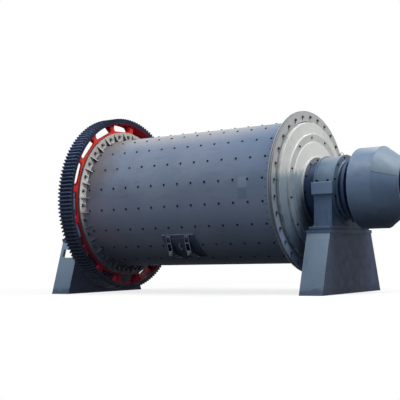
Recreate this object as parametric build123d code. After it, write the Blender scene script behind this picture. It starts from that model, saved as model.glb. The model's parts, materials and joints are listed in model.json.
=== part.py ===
from build123d import *
import math
import os

# A ball mill of the 2100 by 3600 size: a bolted steel drum with cast heads, which turns in
# two trunnion bearings on tapered pedestals. A girth gear drives it at one end, and a drum
# feeder is bolted to the trunnion at the other. Lengths are in millimetres.
# X runs along the drum towards the feeder, Y across it and Z up. The origin is on the
# ground, under the middle of the mill.

# Drum shell
shell_bore_radius = 1050
shell_wall = 24
shell_length = 3580
shell_flange_height = 148
feed_flange_thickness = 30
drive_flange_thickness = 44
fit_gap = 0.3
cut_overrun = 5
shell_outer_radius = shell_bore_radius + shell_wall
shell_flange_radius = shell_outer_radius + shell_flange_height

# Gussets behind the drive flange
gusset_count = 30
gusset_phase = 2.3
gusset_thickness = 16
gusset_length = 74
gusset_rim_gap = 22
gusset_nose = 8
gusset_height = shell_flange_height - gusset_rim_gap

# Cast heads
head_rim_step = 10
head_flange_thickness = 24
head_groove_width = 17
head_groove_depth = 12
head_disc_edge = 5
head_step_width = 176
head_boss_step = 121
head_hub_wall = 140
head_hub_depth = 110
head_register_length = 32
head_register_wall = 50
head_edge_radius = 8
feed_head_rise = 100
drive_head_rise = 46
disc_edge_share = 0.42
step_foot_share = 0.66
step_top_share = 0.88
head_radius = shell_flange_radius - head_rim_step
head_disc_radius = shell_bore_radius - head_disc_edge
head_groove_radius = head_disc_radius + head_groove_width
head_step_radius = head_disc_radius - head_step_width
head_boss_radius = head_step_radius - head_boss_step

# Trunnions
journal_radius = 350
journal_wall = 50
neck_swell = 75
feed_neck_length = 105
trunnion_flange_height = 87
trunnion_flange_thickness = 30
trunnion_spigot_length = 60
trunnion_spigot_wall = 120
trunnion_end_height = 125
trunnion_end_thickness = 24
trunnion_liner_wall = 16
trunnion_liner_overhang = 20
trunnion_bore_radius = journal_radius - journal_wall
trunnion_neck_radius = journal_radius + neck_swell
trunnion_flange_radius = trunnion_neck_radius + trunnion_flange_height
trunnion_end_radius = journal_radius + trunnion_end_height
head_bore_radius = trunnion_bore_radius + trunnion_spigot_wall
head_hub_radius = head_bore_radius + head_hub_wall

# Girth gear. Its teeth are a multiple of four, so that it reaches as far on every side.
gear_module = 20
gear_pressure_angle = 20
gear_root_clearance_share = 0.25
gear_backlash = 1.2
gear_rim_depth = 42
gear_face_width = 260
gear_rim_overhang = 49
gear_web_thickness = 40
gear_ring_step = 16
gear_arm_reach = 135
gear_arm_count = 16
gear_arm_phase = 8.6
gear_arm_width = 78
gear_window_outer_corner = 74
gear_window_inner_corner = 38
gear_window_ledge = 6
gear_rib_thickness = 34
gear_rib_length = 150
gear_rib_toe = 34
gear_rib_clearance = 8
gear_ground_clearance = 56
gear_pedestal_gap = 235
gear_ring_radius = shell_flange_radius + gear_ring_step
gear_tooth_foot = gear_module * (1 + gear_root_clearance_share)
gear_wanted_radius = gear_ring_radius + gear_arm_reach + gear_rim_depth + gear_tooth_foot
gear_teeth = 4 * round(gear_wanted_radius / gear_module / 2)
gear_pitch_radius = gear_module * gear_teeth / 2
gear_tip_radius = gear_pitch_radius + gear_module
gear_root_radius = gear_pitch_radius - gear_tooth_foot
axis_height = gear_tip_radius + gear_ground_clearance

# Manhole in the shell
manhole_x_from_feed_joint = 1834
manhole_angle = -46.5
manhole_opening_length = 400
manhole_opening_angle = 17
manhole_opening_corner = 60
manhole_frame_margin = 105
manhole_frame_margin_angle = 4.5
manhole_frame_thickness = 14
manhole_door_lap = 40
manhole_door_lap_angle = 1.75
manhole_door_thickness = 18
clamp_offset = 172
clamp_cheek_spacing = 76
clamp_cheek_thickness = 10
clamp_lift = 12
clamp_height = 104
clamp_foot_height = 24
clamp_crown_length = 56
clamp_crown_thickness = 12
clamp_tie = 14
clamp_end_angle = 12.2
clamp_foot_angle = 1.4
clamp_tie_angle = 6.1
handle_length = 96
handle_reach = 52
handle_rod = 14
handle_offset_angle = 2.5
manhole_frame_length = manhole_opening_length + 2 * manhole_frame_margin
manhole_frame_angle = manhole_opening_angle + 2 * manhole_frame_margin_angle
manhole_door_length = manhole_opening_length + 2 * manhole_door_lap
manhole_door_angle = manhole_opening_angle + 2 * manhole_door_lap_angle

# Drum feeder
feeder_flange_thickness = 20
feeder_neck_length = 100
feeder_drum_radius = 590
feeder_drum_length = 356
feeder_drum_wall = 12
feeder_back_thickness = 16
feeder_cone_length = 312
feeder_mouth_radius = 368
feeder_mouth_ring_thickness = 12
feeder_mouth_ring_depth = 22

# Trunnion bearings, measured from the mill's axis and the bearing's middle
housing_wall = 90
housing_length = 282
cap_wall = 60
cap_lug_height = 95
base_lug_height = 80
lug_reach = 60
lug_length = 332
lug_edge_radius = 10
base_side_wall = 20
base_foot_flare = 25
base_foot_top = 547
base_foot_thickness = 43
base_flange_reach = 110
base_flange_length = 350
sole_plate_reach = 45
sole_plate_length = 390
sole_plate_thickness = 49
liner_length = 240
liner_wrap_angle = 150
cover_lip = 13
cover_thickness = 20
cover_recess_gap = 3
seal_step = 6
seal_thickness = 30
seal_running_gap = 5
journal_inner_gap = 24
journal_outer_gap = 67
housing_bore_radius = journal_radius + housing_wall
cap_radius = housing_bore_radius + cap_wall
cover_radius = cap_radius + cover_lip
seal_radius = housing_bore_radius - seal_step
lug_half_width = cap_radius + lug_reach
base_half_width = cap_radius + base_side_wall
base_foot_half_width = base_half_width + base_foot_flare
base_flange_half_width = base_foot_half_width + base_flange_reach
sole_plate_half_width = base_flange_half_width + sole_plate_reach
bearing_half_length = housing_length / 2 + cover_thickness + seal_thickness
journal_inner_reach = bearing_half_length + journal_inner_gap
journal_outer_reach = bearing_half_length + journal_outer_gap
trunnion_end_reach = journal_outer_reach + trunnion_end_thickness

# Pedestals
pedestal_length = 370
pedestal_shoulder = 9
pedestal_spread = 287
drive_window_sill = 604
drive_window_height = 136
drive_window_post = 60
drive_window_inner = 470
drive_window_corner = 10
pedestal_height = axis_height - base_foot_top - base_foot_thickness - sole_plate_thickness
pedestal_top_half_width = sole_plate_half_width - pedestal_shoulder
pedestal_foot_half_width = pedestal_top_half_width + pedestal_spread

# Places along X, all from the drive and feed joints of the shell
feed_seat_reach = head_flange_thickness + feed_head_rise + trunnion_flange_thickness
feed_bearing_offset = feed_seat_reach + feed_neck_length + journal_inner_reach
drive_bearing_offset = gear_face_width - gear_rim_overhang + gear_pedestal_gap + pedestal_length / 2
feeder_length = feeder_flange_thickness + feeder_neck_length + feeder_drum_length + feeder_cone_length
feed_reach = feed_bearing_offset + trunnion_end_reach + feeder_length + feeder_mouth_ring_thickness
drive_reach = drive_bearing_offset + trunnion_end_reach
mill_length = drive_reach + shell_length + feed_reach
feed_joint_x = mill_length / 2 - feed_reach
drive_joint_x = feed_joint_x - shell_length
feed_bearing_x = feed_joint_x + feed_bearing_offset
drive_bearing_x = drive_joint_x - drive_bearing_offset
feeder_x = feed_bearing_x + trunnion_end_reach

mill_axis = Axis((0, 0, axis_height), (1, 0, 0))
top_angle = 90
bottom_angle = -90
full_turn = 360


def save(solid, node):
    export_step(solid, "parts/" + node + ".step")


def turned(outline):
    """Turn a closed outline of (x, radius) points about the mill's axis."""
    profile = make_face(Polyline([(x, 0, axis_height + radius) for x, radius in outline], close=True))
    return revolve(profile, mill_axis)


def at_angle(solid, angle):
    """Turn a solid that was made at the top to an angle counted up from the near side."""
    return solid.rotate(mill_axis, top_angle - angle)


def arc_plate(x_middle, length, inner_radius, outer_radius, angle, arc):
    """A curved plate on the drum, centred on an angle counted up from the near side."""
    low_x = x_middle - length / 2
    high_x = x_middle + length / 2
    corners = [(low_x, inner_radius), (low_x, outer_radius), (high_x, outer_radius), (high_x, inner_radius)]
    profile = make_face(Polyline([(x, 0, axis_height + radius) for x, radius in corners], close=True))
    return at_angle(revolve(profile, mill_axis, revolution_arc=arc), angle + arc / 2)


def ring(low_x, high_x, inner_radius, outer_radius):
    return turned([(low_x, inner_radius), (low_x, outer_radius), (high_x, outer_radius), (high_x, inner_radius)])


def box(low_x, high_x, low_y, high_y, low_z, high_z):
    middle = ((low_x + high_x) / 2, (low_y + high_y) / 2, (low_z + high_z) / 2)
    return Pos(*middle) * Box(high_x - low_x, high_y - low_y, high_z - low_z)


def cross_prism(outline, x_middle, length):
    """A prism with a closed outline of (y, z) points, centred on a place along X."""
    face = make_face(Polyline([(x_middle - length / 2, y, z) for y, z in outline], close=True))
    return extrude(face, amount=length, dir=(1, 0, 0))


def make_shell():
    tube = ring(drive_joint_x, feed_joint_x, shell_bore_radius, shell_outer_radius)
    manhole_x = feed_joint_x - manhole_x_from_feed_joint
    opening_width = 2 * shell_outer_radius * math.sin(math.radians(manhole_opening_angle / 2))
    cutter_sketch = Plane.XY * RectangleRounded(manhole_opening_length, opening_width, manhole_opening_corner)
    cutter = extrude(cutter_sketch, amount=shell_outer_radius + cut_overrun)
    cutter -= extrude(cutter_sketch, amount=shell_bore_radius - shell_wall * 2)
    cutter = at_angle(Pos(manhole_x, 0, axis_height) * cutter, manhole_angle)
    save(tube - cutter, "shell")


def make_shell_flanges():
    bore = shell_outer_radius + fit_gap
    feed = ring(feed_joint_x - feed_flange_thickness, feed_joint_x, bore, shell_flange_radius)
    drive = ring(drive_joint_x, drive_joint_x + drive_flange_thickness, bore, shell_flange_radius)
    save(feed, "feed_shell_flange")
    save(drive, "drive_shell_flange")


def make_gussets():
    foot_x = drive_joint_x + drive_flange_thickness
    low = axis_height + shell_outer_radius
    outline = [
        (foot_x, -gusset_thickness / 2, low),
        (foot_x, -gusset_thickness / 2, low + gusset_height),
        (foot_x + gusset_nose, -gusset_thickness / 2, low + gusset_height),
        (foot_x + gusset_length, -gusset_thickness / 2, low + gusset_nose),
        (foot_x + gusset_length, -gusset_thickness / 2, low),
    ]
    gusset = extrude(make_face(Polyline(outline, close=True)), amount=gusset_thickness, dir=(0, 1, 0))
    step = full_turn / gusset_count
    row = [at_angle(gusset, gusset_phase + step * index) for index in range(gusset_count)]
    save(Compound(row), "drive_flange_gussets")


def make_head(node, joint_x, outward, rise, register_length):
    """A cast head: a bolted flange, a raised disc with two steps, and a hub for the trunnion."""
    face = head_flange_thickness
    register_radius = shell_bore_radius - fit_gap
    register_bore = register_radius - head_register_wall
    hub_inner = face + rise - head_hub_depth
    outline = [
        (-register_length, register_bore),
        (-register_length, register_radius),
        (0, register_radius),
        (0, head_radius),
        (face, head_radius),
        (face, head_groove_radius),
        (face - head_groove_depth, head_groove_radius),
        (face - head_groove_depth, head_disc_radius),
        (face + rise * disc_edge_share - head_edge_radius, head_disc_radius),
        (face + rise * disc_edge_share, head_disc_radius - head_edge_radius),
        (face + rise * step_foot_share, head_step_radius),
        (face + rise * step_top_share - head_edge_radius, head_step_radius),
        (face + rise * step_top_share, head_step_radius - head_edge_radius),
        (face + rise * step_top_share, head_boss_radius),
        (face + rise, head_boss_radius - head_edge_radius),
        (face + rise, head_bore_radius),
        (hub_inner, head_bore_radius),
        (hub_inner, head_hub_radius),
        (0, register_bore),
    ]
    save(turned([(joint_x + outward * reach, radius) for reach, radius in outline]), node)


def make_trunnion(node, joint_x, outward, rise, bearing_offset):
    """A hollow trunnion: flange on the head, neck, journal and end flange."""
    seat = head_flange_thickness + rise
    outline = [
        (seat - trunnion_spigot_length, trunnion_bore_radius),
        (seat - trunnion_spigot_length, head_bore_radius - fit_gap),
        (seat, head_bore_radius - fit_gap),
        (seat, trunnion_flange_radius),
        (seat + trunnion_flange_thickness, trunnion_flange_radius),
        (seat + trunnion_flange_thickness, trunnion_neck_radius),
        (bearing_offset - journal_inner_reach, journal_radius),
        (bearing_offset + journal_outer_reach, journal_radius),
        (bearing_offset + journal_outer_reach, trunnion_end_radius),
        (bearing_offset + trunnion_end_reach, trunnion_end_radius),
        (bearing_offset + trunnion_end_reach, trunnion_bore_radius),
    ]
    save(turned([(joint_x + outward * reach, radius) for reach, radius in outline]), node)


def make_trunnion_liner(node, joint_x, outward, rise, bearing_offset):
    sleeve = trunnion_bore_radius - fit_gap
    low = joint_x + outward * (head_flange_thickness + rise - trunnion_spigot_length - trunnion_liner_overhang)
    high = joint_x + outward * (bearing_offset + trunnion_end_reach)
    save(ring(low, high, sleeve - trunnion_liner_wall, sleeve), node)


def involute_half_angle(radius):
    """Half the angle that a tooth fills at a radius, for an involute flank."""
    pressure = math.radians(gear_pressure_angle)
    local = math.acos(gear_pitch_radius * math.cos(pressure) / radius)
    flank = (math.tan(pressure) - pressure) - (math.tan(local) - local)
    return (math.pi * gear_module / 2 - gear_backlash) / 2 / gear_pitch_radius + flank


def gear_outline():
    rising = (gear_root_radius, gear_pitch_radius, gear_tip_radius)
    tooth_angle = 2 * math.pi / gear_teeth
    points = []
    for tooth in range(gear_teeth):
        middle = tooth * tooth_angle
        for side, radii in ((-1, rising), (1, rising[::-1])):
            for radius in radii:
                angle = middle + side * involute_half_angle(radius)
                points.append((radius * math.cos(angle), axis_height + radius * math.sin(angle)))
    return points


def make_girth_gear():
    """The girth gear: toothed rim, web with rounded windows, and a rib behind each arm."""
    rim_bore = gear_root_radius - gear_rim_depth
    front_x = drive_joint_x + gear_rim_overhang
    rim = cross_prism(gear_outline(), front_x - gear_face_width / 2, gear_face_width)
    hollow = ring(front_x - gear_face_width - cut_overrun, front_x + cut_overrun, 0, rim_bore)
    gear = rim - hollow
    web = ring(drive_joint_x - gear_web_thickness, drive_joint_x, shell_bore_radius, rim_bore + cut_overrun)
    window_high = rim_bore - gear_window_ledge
    half_step = math.pi / gear_arm_count
    inner_half = gear_ring_radius * math.sin(half_step) - gear_arm_width / 2
    outer_half = window_high * math.sin(half_step) - gear_arm_width / 2
    window = make_face(Polyline([
        (-inner_half, gear_ring_radius),
        (-outer_half, window_high),
        (outer_half, window_high),
        (inner_half, gear_ring_radius),
    ], close=True))
    window = fillet(window.vertices().sort_by(Axis.Y)[-2:], gear_window_outer_corner)
    window = fillet(window.vertices().sort_by(Axis.Y)[:2], gear_window_inner_corner)
    cutter = extrude(Plane.YZ * window, amount=gear_web_thickness + cut_overrun * 2)
    cutter = Pos(drive_joint_x - gear_web_thickness - cut_overrun, 0, axis_height) * cutter
    rib_low = head_radius + gear_rib_clearance
    rib = extrude(make_face(Polyline([
        (drive_joint_x - gear_web_thickness / 2, -gear_rib_thickness / 2, axis_height + rib_low),
        (drive_joint_x - gear_web_thickness / 2, -gear_rib_thickness / 2, axis_height + rim_bore + cut_overrun),
        (drive_joint_x - gear_rib_length, -gear_rib_thickness / 2, axis_height + rim_bore + cut_overrun),
        (drive_joint_x - gear_rib_length, -gear_rib_thickness / 2, axis_height + rim_bore - gear_rib_toe),
        (drive_joint_x - gear_web_thickness - gear_rib_toe, -gear_rib_thickness / 2, axis_height + rib_low),
    ], close=True)), amount=gear_rib_thickness, dir=(0, 1, 0))
    step = full_turn / gear_arm_count
    windows = [at_angle(cutter, gear_arm_phase + step * (index + 1 / 2)) for index in range(gear_arm_count)]
    ribs = [at_angle(rib, gear_arm_phase + step * index) for index in range(gear_arm_count)]
    save(gear + (web - windows) + ribs, "girth_gear")


def make_manhole():
    x = feed_joint_x - manhole_x_from_feed_joint
    frame_low = shell_outer_radius + fit_gap
    frame_high = frame_low + manhole_frame_thickness
    frame = arc_plate(x, manhole_frame_length, frame_low, frame_high, manhole_angle, manhole_frame_angle)
    frame -= arc_plate(x, manhole_opening_length, frame_low - cut_overrun, frame_high + cut_overrun,
                       manhole_angle, manhole_opening_angle)
    save(frame, "manhole_frame")
    door_low = frame_high + fit_gap
    door_high = door_low + manhole_door_thickness
    door = arc_plate(x, manhole_door_length, door_low, door_high, manhole_angle, manhole_door_angle)
    save(door, "manhole_door")
    for node, offset in (("manhole_clamp_drive_side", -clamp_offset), ("manhole_clamp_feed_side", clamp_offset)):
        save(make_clamp(x + offset, frame_high, door_high), node)
    save(make_handle(x, door_high), "manhole_handle")


def from_top(radius, angle):
    """The (y, z) of a point about the mill's axis, its angle counted from the top."""
    turn = math.radians(angle)
    return radius * math.sin(turn), axis_height + radius * math.cos(turn)


def make_clamp(x, frame_high, door_high):
    """A bridge over the door: two peaked cheeks with feet on the frame, tied by bars and a crown."""
    foot_low = frame_high + fit_gap
    foot_high = foot_low + clamp_foot_height
    crown = door_high + clamp_height
    arch_high = door_high + clamp_lift
    ends = [from_top(foot_high, -clamp_end_angle), from_top(foot_low, -clamp_end_angle),
            from_top(foot_low, clamp_end_angle), from_top(foot_high, clamp_end_angle)]
    crown_ends = [(clamp_crown_length / 2, axis_height + crown), (-clamp_crown_length / 2, axis_height + crown)]
    seat = ring(x - clamp_cheek_spacing, x + clamp_cheek_spacing, 0, foot_low)
    arch_angle = 2 * (clamp_end_angle - clamp_foot_angle)
    arch = arc_plate(x, 2 * clamp_cheek_spacing, foot_low - cut_overrun, arch_high, top_angle, arch_angle)
    outer_half = (clamp_cheek_spacing + clamp_cheek_thickness) / 2
    crown_plate = box(x - outer_half, x + outer_half, -clamp_crown_length / 2, clamp_crown_length / 2,
                      axis_height + crown - clamp_crown_thickness, axis_height + crown)
    clamp = crown_plate
    for side in (-1, 1):
        cheek_x = x + side * clamp_cheek_spacing / 2
        clamp += cross_prism(ends + crown_ends, cheek_x, clamp_cheek_thickness) - seat - arch
    slope_y, slope_z = crown_ends[0][0] - ends[3][0], crown_ends[0][1] - ends[3][1]
    tie_share = (clamp_end_angle - clamp_tie_angle) / clamp_end_angle
    for side in (-1, 1):
        end_y = side * (ends[3][0] + slope_y * tie_share)
        end_z = ends[3][1] + slope_z * tie_share
        clamp += box(x - outer_half, x + outer_half, end_y - clamp_tie / 2, end_y + clamp_tie / 2,
                     end_z - clamp_tie * 3 / 2, end_z - clamp_tie / 2)
        foot_middle = top_angle + side * (clamp_end_angle - clamp_foot_angle / 2)
        clamp += arc_plate(x, 2 * outer_half, foot_low, foot_high, foot_middle, clamp_foot_angle)
    return at_angle(clamp, manhole_angle)


def make_handle(x, door_high):
    """A rod handle that stands off the door and runs round the drum."""
    low = axis_height + door_high - handle_rod / 2
    half = handle_length / 2
    path = FilletPolyline([
        (x, -half, low), (x, -half, low + handle_reach),
        (x, half, low + handle_reach), (x, half, low),
    ], radius=handle_rod)
    section = Plane(origin=(x, -half, low), z_dir=(0, 0, 1)) * Circle(handle_rod / 2)
    door_top = ring(x - handle_length, x + handle_length, 0, door_high + fit_gap)
    return at_angle(sweep(section, path=path) - door_top, manhole_angle + handle_offset_angle)


def make_feeder():
    flange_x = feeder_x + feeder_flange_thickness
    drum_x = flange_x + feeder_neck_length
    cone_x = drum_x + feeder_drum_length
    mouth_x = cone_x + feeder_cone_length
    neck = turned([
        (feeder_x, trunnion_bore_radius),
        (feeder_x, trunnion_end_radius),
        (flange_x, trunnion_end_radius),
        (flange_x, journal_radius),
        (drum_x, journal_radius),
        (drum_x, trunnion_bore_radius),
    ])
    save(neck, "feeder_neck")
    inner_radius = feeder_drum_radius - feeder_drum_wall
    back = ring(drum_x, drum_x + feeder_back_thickness, trunnion_bore_radius, inner_radius - fit_gap)
    save(back, "feeder_back_plate")
    save(ring(drum_x, cone_x, inner_radius, feeder_drum_radius), "feeder_drum")
    cone = turned([
        (cone_x, inner_radius),
        (cone_x, feeder_drum_radius),
        (mouth_x, feeder_mouth_radius),
        (mouth_x, feeder_mouth_radius - feeder_drum_wall),
    ])
    save(cone, "feeder_cone")
    mouth_low = feeder_mouth_radius - feeder_mouth_ring_depth
    mouth = ring(mouth_x, mouth_x + feeder_mouth_ring_thickness, mouth_low, feeder_mouth_radius)
    save(mouth, "feeder_mouth_ring")


def make_bearing(end, x, outward):
    """One trunnion bearing: sole plate, base, cap, liner and the two seal covers."""
    foot_top = axis_height - base_foot_top
    foot_bottom = foot_top - base_foot_thickness
    length = sole_plate_length
    sole = box(x - length / 2, x + length / 2, -sole_plate_half_width, sole_plate_half_width,
               foot_bottom - sole_plate_thickness, foot_bottom)
    save(sole, end + "_sole_plate")
    bore = ring(x - lug_length, x + lug_length, 0, housing_bore_radius)
    recess_radius = cover_radius + cover_recess_gap
    half_housing = housing_length / 2
    recesses = [
        ring(x - lug_length, x - half_housing, 0, recess_radius),
        ring(x + half_housing, x + lug_length, 0, recess_radius),
    ]
    body = cross_prism([
        (-base_foot_half_width, foot_top), (base_foot_half_width, foot_top),
        (base_half_width, axis_height - base_lug_height), (base_half_width, axis_height),
        (-base_half_width, axis_height), (-base_half_width, axis_height - base_lug_height),
    ], x, housing_length)
    lug = box(x - lug_length / 2, x + lug_length / 2, -lug_half_width, lug_half_width,
              axis_height - base_lug_height, axis_height)
    lug = fillet(lug.edges().filter_by(Axis.Z), lug_edge_radius)
    flange = box(x - base_flange_length / 2, x + base_flange_length / 2,
                 -base_flange_half_width, base_flange_half_width, foot_bottom, foot_top)
    flange = fillet(flange.edges().filter_by(Axis.Z), lug_edge_radius)
    save(body + (lug - recesses) + flange - bore, end + "_bearing_base")
    barrel = ring(x - half_housing, x + half_housing, 0, cap_radius)
    above = box(x - lug_length, x + lug_length, -lug_half_width * 2, lug_half_width * 2,
                axis_height, axis_height + cap_radius * 2)
    cap_lug = box(x - lug_length / 2, x + lug_length / 2, -lug_half_width, lug_half_width,
                  axis_height, axis_height + cap_lug_height)
    cap_lug = fillet(cap_lug.edges().filter_by(Axis.Z), lug_edge_radius)
    save((barrel & above) + (cap_lug - recesses) - bore, end + "_bearing_cap")
    liner = arc_plate(x, liner_length, journal_radius + fit_gap, housing_bore_radius - fit_gap,
                      bottom_angle, liner_wrap_angle)
    save(liner, end + "_bearing_liner")
    seal_bore = journal_radius + seal_running_gap
    for name, side in (("outer", outward), ("inner", -outward)):
        steps = [
            (half_housing, seal_bore), (half_housing, cover_radius),
            (half_housing + cover_thickness, cover_radius), (half_housing + cover_thickness, seal_radius),
            (half_housing + cover_thickness + seal_thickness, seal_radius),
            (half_housing + cover_thickness + seal_thickness, seal_bore),
        ]
        cover = turned([(x + side * reach, radius) for reach, radius in steps])
        save(cover, end + "_" + name + "_seal")


def tapered_block(x):
    """The outer form of a pedestal, centred on a place along X."""
    return cross_prism([
        (-pedestal_foot_half_width, 0), (pedestal_foot_half_width, 0),
        (pedestal_top_half_width, pedestal_height), (-pedestal_top_half_width, pedestal_height),
    ], x, pedestal_length)


def make_drive_pedestal():
    """The drive pedestal has a window in each shoulder, open on three sides between corner posts."""
    x = drive_bearing_x
    stand = tapered_block(x)
    batter = pedestal_spread / pedestal_height
    sill = drive_window_sill
    head = sill + drive_window_height
    low_outer = pedestal_foot_half_width - batter * sill - drive_window_post
    high_outer = pedestal_foot_half_width - batter * head - drive_window_post
    half_slot = pedestal_length / 2 - drive_window_post
    for side in (-1, 1):
        window = cross_prism([
            (side * drive_window_inner, sill), (side * low_outer, sill),
            (side * high_outer, head), (side * drive_window_inner, head),
        ], x, pedestal_length + cut_overrun * 2)
        stand -= fillet(window.edges().filter_by(Axis.X), drive_window_corner)
        low_y, high_y = sorted((side * drive_window_inner, side * pedestal_foot_half_width))
        slot = box(x - half_slot, x + half_slot, low_y, high_y, sill, head)
        stand -= fillet(slot.edges().filter_by(Axis.Y), drive_window_corner)
    save(stand, "drive_pedestal")


os.makedirs("parts", exist_ok=True)
make_shell()
make_shell_flanges()
make_gussets()
make_head("feed_head", feed_joint_x, 1, feed_head_rise, head_register_length)
drive_head_x = drive_joint_x - gear_web_thickness
make_head("drive_head", drive_head_x, -1, drive_head_rise, head_register_length + gear_web_thickness)
make_trunnion("feed_trunnion", feed_joint_x, 1, feed_head_rise, feed_bearing_offset)
drive_head_offset = drive_bearing_offset - gear_web_thickness
make_trunnion("drive_trunnion", drive_head_x, -1, drive_head_rise, drive_head_offset)
make_trunnion_liner("feed_trunnion_liner", feed_joint_x, 1, feed_head_rise, feed_bearing_offset)
make_trunnion_liner("drive_trunnion_liner", drive_head_x, -1, drive_head_rise, drive_head_offset)
make_girth_gear()
make_manhole()
make_feeder()
make_bearing("feed", feed_bearing_x, 1)
make_bearing("drive", drive_bearing_x, -1)
save(tapered_block(feed_bearing_x), "feed_pedestal")
make_drive_pedestal()
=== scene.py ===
import json
import math

import bpy
from mathutils import Matrix, Vector


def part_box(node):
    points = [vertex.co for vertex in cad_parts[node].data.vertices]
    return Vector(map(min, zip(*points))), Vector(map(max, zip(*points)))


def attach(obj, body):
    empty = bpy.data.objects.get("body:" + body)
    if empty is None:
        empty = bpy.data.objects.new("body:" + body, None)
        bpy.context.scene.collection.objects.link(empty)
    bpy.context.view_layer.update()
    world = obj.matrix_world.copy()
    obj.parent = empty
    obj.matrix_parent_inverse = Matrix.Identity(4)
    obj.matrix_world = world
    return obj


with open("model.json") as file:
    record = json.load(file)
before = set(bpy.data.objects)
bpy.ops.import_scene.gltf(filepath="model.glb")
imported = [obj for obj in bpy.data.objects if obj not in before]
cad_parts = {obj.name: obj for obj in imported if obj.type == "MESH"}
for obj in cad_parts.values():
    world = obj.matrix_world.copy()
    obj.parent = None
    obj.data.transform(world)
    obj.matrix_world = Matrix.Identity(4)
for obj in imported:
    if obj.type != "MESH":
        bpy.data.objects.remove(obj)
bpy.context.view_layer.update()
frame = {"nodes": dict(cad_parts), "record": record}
nodes = frame["nodes"]


def half_width(name):
    """Half of what a node measures across the axis."""
    low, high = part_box(name)
    return (high.y - low.y) / 2


def middle_x(name):
    low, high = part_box(name)
    return (low.x + high.x) / 2


# Places and radii read from the frame, in metres
shell_low, shell_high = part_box("shell")
axis_z = (shell_low.z + shell_high.z) / 2
drive_joint_x = shell_low.x
feed_joint_x = shell_high.x
shell_radius = half_width("shell")
flange_radius = half_width("feed_shell_flange")
head_radius = half_width("feed_head")
feeder_radius = half_width("feeder_drum")
mouth_radius = half_width("feeder_mouth_ring")
drive_flange_face_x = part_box("drive_shell_flange")[1].x
feed_flange_back_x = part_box("feed_shell_flange")[0].x
trunnion_end_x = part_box("feed_trunnion")[1].x
feeder_drum_low, feeder_drum_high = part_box("feeder_drum")
cone_low, cone_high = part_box("feeder_cone")
lug_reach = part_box("feed_bearing_cap")[1].y
foot_bottom_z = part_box("feed_sole_plate")[1].z

# Sizes of the modelled parts that the frame has no box for, in metres and degrees
head_flange = 0.024
feed_head_rise = 0.100
drive_head_rise = 0.046
step_top_share = 0.88
disc_radius = 1.045
groove_radius = 1.062
step_radius = 0.869
boss_radius = 0.748
gear_web = 0.040
rim_bore = 1.373
tooth_root = 1.415
tooth_tip = 1.460
neck_radius = 0.425
seat_radius = 0.512
seat_thickness = 0.030
trunnion_end = 0.024
feeder_flange = 0.020
manhole_from_joint = 1.834
manhole_angle = -46.5
manhole_frame_half_angle = 13
clamp_crown = 0.1366
clamp_cheek_reach = 0.038
clamp_cheek_half = 0.005
gusset_count = 30
gusset_phase = 2.3
gusset_half = 0.008
cap_lug_height = 0.095
seal_radius = 0.434
seal_face = 0.191
cover_seat = 0.141
cover_thickness = 0.020
foot_thickness = 0.043

# Bolt circles, counts and other sizes that only the looks need, in metres and degrees
head_circle = 1.136
drive_circle = 1.148
head_count = 30
head_phase = 6.5
drive_nut_phase = 8.3
nut_washer = 0.004
feed_nut_height = 0.020
drive_nut_height = 0.026
small_count = 12
step_circle = 0.812
step_phase = 21.5
seat_circle = 0.466
seat_phase = 26
cover_circle = 0.475
cover_phase = 16
feeder_circle = 0.435
feeder_count = 16
feeder_phase = 4
liner_pitch = 0.250
liner_columns = 14
liner_rows = 20
first_liner_from_joint = 0.209
liner_row_phase = 9
liner_free_length = 0.3
liner_free_angle = 12
stud_from_joint = 0.154
stud_count = 57
stud_phase = 1.6
bolt_sunk = 0.001
cap_nut_along = 0.085
cap_nut_across = 0.527
foot_bolt_along = 0.110
foot_bolt_across = 0.600
eye_circle = 1.186
eye_angle = 147
eye_rise = 0.042
eye_collar = 0.022
flange_bead = 0.007
seam_bead = 0.005
mouth_bead = 0.004
touch_up_from_joint = 0.544
touch_up_half = 0.077
touch_up_angles = (6.7, -2.2)
touch_up_half_angle = 4.1
primer_slope = 0.14
primer_rise = 0.33
seam_angle = 19
plate_end_angle = 120

# What follows from these
drive_head_face_x = drive_joint_x - gear_web - head_flange
feed_head_face_x = feed_joint_x + head_flange
foot_top_z = foot_bottom_z + foot_thickness
quarter = math.radians(90)

# How an enamel's pattern is scaled along X, Y and Z, so that its streaks run down
streaks_down = (1.4, 1.4, 0.5)

# The camera, fitted to the photograph's view, with angles in radians
frame_pixels = 400
focal_pixels = 934.44
camera_from_feed_joint = 6.5735
camera_place = (feed_joint_x + camera_from_feed_joint, -12.548, 0.566)
camera_pan = 0.6003
camera_tilt = 0.0611
camera_roll = -0.0201

# The floor, in metres
floor_size = 160
floor_fade_start = 3.2
floor_fade_end = 8.0


def srgb(red, green, blue):
    """A colour written as the 0 to 255 values that a screen shows."""
    linear = []
    for value in (red, green, blue):
        share = value / 255
        linear.append(share / 12.92 if share <= 0.04045 else ((share + 0.055) / 1.055) ** 2.4)
    return (*linear, 1.0)


# Selecting and finishing pieces


def pick(*pieces):
    bpy.ops.object.select_all(action="DESELECT")
    for piece in pieces:
        piece.select_set(True)
    bpy.context.view_layer.objects.active = pieces[0]


def settle(piece):
    """Put a piece's place into its mesh, so that its object sits at the origin."""
    pick(piece)
    bpy.ops.object.transform_apply(location=True, rotation=True, scale=True)


def weld(pieces, name):
    """Join several pieces into one."""
    pick(*pieces)
    bpy.ops.object.join()
    joined = bpy.context.object
    joined.name = name
    settle(joined)
    return joined


def edit_faces(piece, wanted):
    """Select the faces that a test on centre and normal wants, and go into edit mode."""
    pick(piece)
    bpy.ops.object.mode_set(mode="EDIT")
    bpy.ops.mesh.select_mode(type="FACE")
    bpy.ops.mesh.select_all(action="DESELECT")
    bpy.ops.object.mode_set(mode="OBJECT")
    for face in piece.data.polygons:
        face.select = wanted(face.center, face.normal)
    bpy.ops.object.mode_set(mode="EDIT")


def leave_edit():
    bpy.ops.object.mode_set(mode="OBJECT")


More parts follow.
